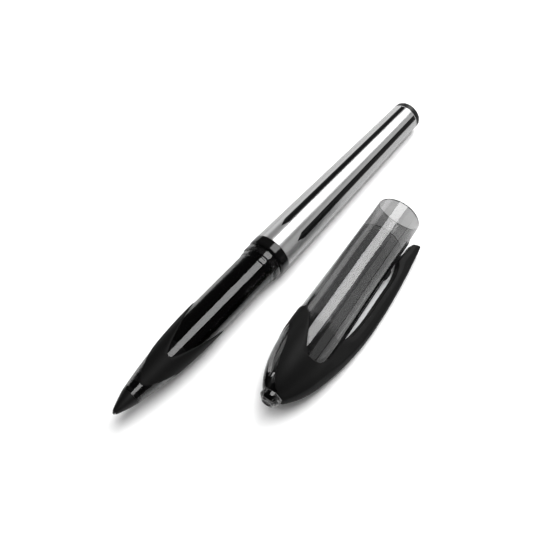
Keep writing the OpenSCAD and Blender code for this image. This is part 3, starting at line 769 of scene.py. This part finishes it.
def rail_field(x, y, z):
    """The cover's rail along the tube under the clip, with a small stop."""
    rho = np.sqrt(x * x + y * y)
    r = cap_r(z)
    height = np.interp(z, [4.3, 5.6, 40, 43, 45.5], [0.12, RAIL_H, RAIL_H, 0.33, 0.2])
    f = (z - RAIL_STOP) / RAIL_STOP_HALF
    stop = RAIL_STOP_H * np.clip(1 - f ** 4, 0, 1) ** 0.6
    rib = smax(rho - r - height - stop, np.abs(x) - RAIL_HALF, 0.35)
    ends = np.maximum(RAIL_START - z, z - RAIL_END)
    return smax(smax(rib, ends, 0.2), smax(r - 0.12 - rho, y, 0.05), 0.05)


points, quads = surface_net(rail_field, (-1.4, -8.3, 4), (1.4, -6, 46.5), RAIL_STEP)
finish_piece(new_mesh("cap_cover_rail", points, quads.tolist(), CAP), "cap_soft", "cap",
             "cap_matt", "cap_cover")

points, quads = surface_net(cap_field, (-7.9, -13.4, 3.0), (7.9, 7.9, 67.8), COVER_STEP)
cover = new_mesh("cap_cover_and_clip", points, quads.tolist(), CAP)
finish_piece(cover, "cap_soft", None, "cap_matt", "cap_cover", "pocket_clip")
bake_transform(cover)

# ---- floor, light and camera ----


def dim_in_reflections(mat, value):
    """Lets a pale floor look darker where it is seen in glossy or clear surfaces."""
    dim = mat.node_tree.nodes.new("ShaderNodeBsdfDiffuse")
    dim.inputs["Color"].default_value = (value, value, value, 1)
    mix_in(mat.node_tree, "Is Glossy Ray", dim)


FLOOR_HALF, FLOOR_LINES = 3, 25
dim_in_reflections(mats["floor"], 0.6)
g = np.linspace(-FLOOR_HALF, FLOOR_HALF, FLOOR_LINES)
gx, gy = np.meshgrid(g, g, indexing="ij")
n = len(g)
floor_mesh = bpy.data.meshes.new("floor")
floor_mesh.from_pydata(np.stack([gx.ravel(), gy.ravel(), np.zeros(n * n)], 1).tolist(), [],
                       [[i * n + j, (i + 1) * n + j, (i + 1) * n + j + 1, i * n + j + 1]
                        for i in range(n - 1) for j in range(n - 1)])
floor = bpy.data.objects.new("floor", floor_mesh)
bpy.context.scene.collection.objects.link(floor)
floor.data.materials.append(mats["floor"])


def area_light(name, at, towards, size_x, size_y, power):
    """A softbox; its long side lies along X."""
    lamp = bpy.data.lights.new(name, "AREA")
    lamp.shape = "RECTANGLE"
    lamp.size, lamp.size_y, lamp.energy = size_x, size_y, power
    ob = bpy.data.objects.new(name, lamp)
    z = unit(np.array(at) - np.array(towards))
    x = unit(np.array([1, 0, 0]) - z[0] * z)
    turn = Matrix(np.column_stack([x, np.cross(z, x), z]).tolist()).to_4x4()
    ob.matrix_world = Matrix.Translation(at) @ turn
    bpy.context.scene.collection.objects.link(ob)
    return ob


def light_only(lamp, names):
    """Lets a lamp light only the named pieces."""
    group = bpy.data.collections.new(lamp.name + "_lights")
    for name in names:
        group.objects.link(bpy.data.objects[name])
    lamp.light_linking.receiver_collection = group


GRIP_PIECES = ["nose_cone_shape", "ball_seat_shape", "grip_shell_shape", "grip_cover_shape",
               "inner_sleeve_shape", "feed_guide_shape", "neck_collar_shape"]
OTHER_PIECES = [o.name for o in bpy.context.scene.objects
                if o.type == "MESH" and o.name not in GRIP_PIECES]
CENTRE, OVER_FLOOR = (0.0, 0.0, 0.0), (0.0, 0.0, 0.1)
# name, place, aim, length, width, power and what it lights
for *lamp, lit in (
        ("grip_softbox", (0.20, -0.15, 0.50), CENTRE, 0.8, 0.36, 4.6, GRIP_PIECES),
        ("main_softbox", (0.22, 0.0, 0.50), CENTRE, 0.8, 0.36, 5.3, OTHER_PIECES),
        ("back_wall", (0.5, 1.0, 0.28), OVER_FLOOR, 2.4, 0.5, 4.8, OTHER_PIECES),
        ("front_card", (0.4, -0.8, 0.4), CENTRE, 1.6, 0.6, 1.8, OTHER_PIECES)):
    light_only(area_light(*lamp), lit)
fill = area_light("overhead_fill", (0.0, 0.2, 1.4), CENTRE, 3.0, 3.0, 12.5)
fill.visible_glossy = False
fill.visible_transmission = False

world = bpy.data.worlds.new("studio")
world.use_nodes = True
background = world.node_tree.nodes["Background"]
background.inputs["Color"].default_value = (1, 1, 1, 1)
background.inputs["Strength"].default_value = 0.04
bpy.context.scene.world = world

view = bpy.context.scene.view_settings
view.view_transform = "Standard"
view.look = "None"

# the camera: the point on the floor that it looks at, and where it stands from there, in mm
pen_tip = PEN[1] / MM
aim = np.array([pen_tip[0] + 61.5, pen_tip[1] + 0.7, 0.0])
away = np.array([-99.6, -80.3, 199.2])
cam = bpy.data.cameras.new("camera")
cam.sensor_width = 36
cam.lens = 55.7
cam_ob = bpy.data.objects.new("camera", cam)
cam_ob.location = ((aim + away) * MM).tolist()
cam_ob.rotation_mode = "QUATERNION"
cam_ob.rotation_quaternion = Vector((-away).tolist()).to_track_quat("-Z", "Y")
bpy.context.scene.collection.objects.link(cam_ob)
bpy.context.scene.camera = cam_ob
